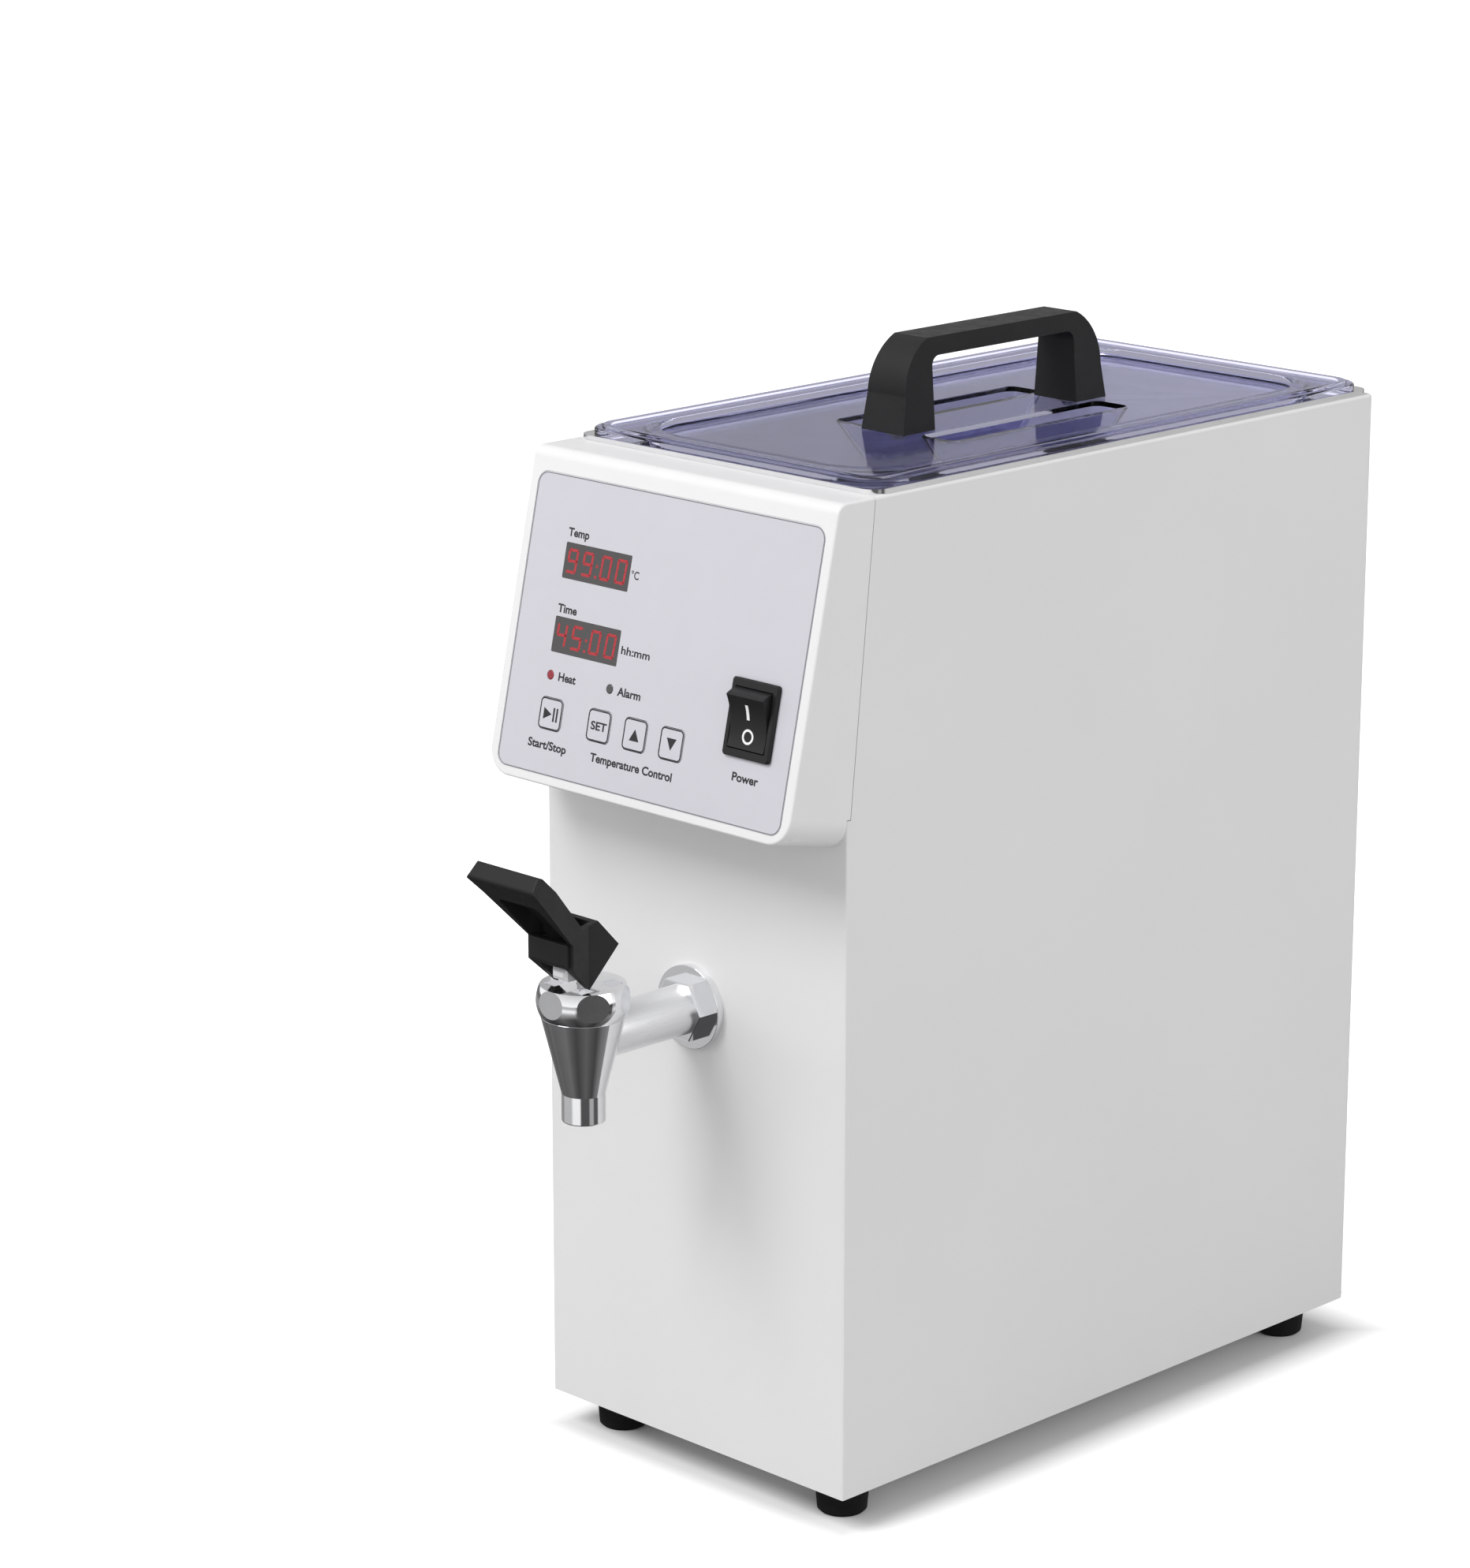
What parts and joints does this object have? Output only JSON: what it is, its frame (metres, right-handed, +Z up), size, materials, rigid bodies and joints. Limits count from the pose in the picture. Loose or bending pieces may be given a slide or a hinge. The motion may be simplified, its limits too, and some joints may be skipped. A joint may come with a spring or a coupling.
{
  "type": "heated dispensing bath",
  "caption": "Tall narrow heated bath with a sloping control console, a steel tank under a clear lift-off lid with a bridge handle, and a lever tap on the front.",
  "frame": {"origin": "on the table under the middle of the whole object's box", "axes": "+X to the object's left seen from behind its tap (viewer's right), +Y from the tap to the rear panel, +Z up"},
  "size_m": [0.18, 0.4576, 0.4909],
  "materials": {
    "white_paint": "satin powder coat",
    "white_console": "smooth satin white",
    "label_film": "fine matt film",
    "smoked_window": "glossy smoked",
    "display_block": "matt black",
    "red_lamp": "translucent red",
    "grey_lamp": "translucent dark grey",
    "black_plastic": "moulded satin black",
    "switch_black": "moulded black",
    "stainless": "polished",
    "zinc_steel": "bright zinc",
    "chrome": "bright chrome",
    "satin_nickel": "satin",
    "clear_lid": "clear, faint violet tint",
    "rubber": "matt black",
    "silicone": "matt translucent white",
    "insulation": "mineral wool",
    "mica": "mica sheet",
    "circuit_board": "green lacquer",
    "core_steel": "lacquered laminations",
    "brass": "plain",
    "lead_wire": "glass-braid sleeve",
    "fuse_glass": "clear"
  },
  "bodies": {
    "housing": {"cabinet": "white_paint", "base_plate": "white_paint", "rear_panel": "white_paint", "base_screws": "zinc_steel", "rear_screws": "zinc_steel", "rubber_feet": "rubber", "foot_screws": "zinc_steel", "console_housing": "white_console", "label_overlay": "label_film", "heat_led": "red_lamp", "alarm_led": "grey_lamp", "key_switches": "switch_black", "control_board": "circuit_board", "board_pillars": "white_console", "board_screws": "zinc_steel", "switch_body": "switch_black", "rocker_pin": "zinc_steel", "switch_terminals": "brass", "tank": "stainless", "tank_gasket": "silicone", "tank_nozzle": "stainless", "bottom_heater": "mica", "side_heaters": "silicone", "insulation_jacket": "insulation", "overheat_cutout": "zinc_steel", "temperature_sensor": "stainless", "power_board": "circuit_board", "power_board_pillars": "zinc_steel", "transformer": "core_steel", "solid_state_relay": "black_plastic", "heater_leads": "lead_wire", "ribbon_cable": "lead_wire", "inlet_socket": "switch_black", "inlet_pins": "brass", "fuse_drawer": "switch_black", "fuse": "fuse_glass", "tap_body": "chrome", "tap_shank": "satin_nickel", "tap_washer": "chrome", "tap_nut": "chrome", "tap_locknut": "zinc_steel", "tap_bonnet": "chrome", "valve_spring": "zinc_steel", "temperature_window": "smoked_window", "time_window": "smoked_window", "temperature_display": "display_block", "time_display": "display_block"},
    "lid": {"lid": "clear_lid", "lid_handle": "black_plastic", "handle_screws": "zinc_steel", "handle_washers": "silicone"},
    "stem": {"valve_stem": "stainless", "seat_cup": "silicone"},
    "lever": {"tap_lever": "black_plastic", "lever_pin": "zinc_steel"},
    "rocker": {"power_rocker": "switch_black"},
    "start_button": {"start_key": "label_film"},
    "set_button": {"set_key": "label_film"},
    "up_button": {"up_key": "label_film"},
    "down_button": {"down_key": "label_film"}
  },
  "joints": [
    {"name": "lid_lift", "type": "slide", "parent": "housing", "child": "lid", "axis": [0, 0, 1], "range_m": [0, 0.12]},
    {"name": "stem_lift", "type": "slide", "parent": "housing", "child": "stem", "axis": [0, 0, 1], "range_m": [0, 0.003], "stiffness_N_per_m": 1500, "springref_m": -0.004, "deforming": ["valve_spring"]},
    {"name": "lever_tilt", "type": "hinge", "parent": "stem", "child": "lever", "pos_m": [0, -0.18284, 0.2566], "axis": [1, 0, 0], "range_deg": [0, 35.05]},
    {"name": "power_rocker_tilt", "type": "hinge", "parent": "housing", "child": "rocker", "pos_m": [0.0608, -0.14114, 0.35816], "axis": [-1, 0, 0], "range_deg": [0, 26]},
    {"name": "start_press", "type": "slide", "parent": "housing", "child": "start_button", "axis": [0, 0.9767, -0.2147], "range_m": [0, 0.0006], "stiffness_N_per_m": 2500, "springref_m": -0.0004},
    {"name": "set_press", "type": "slide", "parent": "housing", "child": "set_button", "axis": [0, 0.9767, -0.2147], "range_m": [0, 0.0006], "stiffness_N_per_m": 2500, "springref_m": -0.0004},
    {"name": "up_press", "type": "slide", "parent": "housing", "child": "up_button", "axis": [0, 0.9767, -0.2147], "range_m": [0, 0.0006], "stiffness_N_per_m": 2500, "springref_m": -0.0004},
    {"name": "down_press", "type": "slide", "parent": "housing", "child": "down_button", "axis": [0, 0.9767, -0.2147], "range_m": [0, 0.0006], "stiffness_N_per_m": 2500, "springref_m": -0.0004}
  ],
  "couplings": [
    {"joint": "lever_tilt", "follows": "stem_lift", "rad_per_m": 203.62}
  ]
}
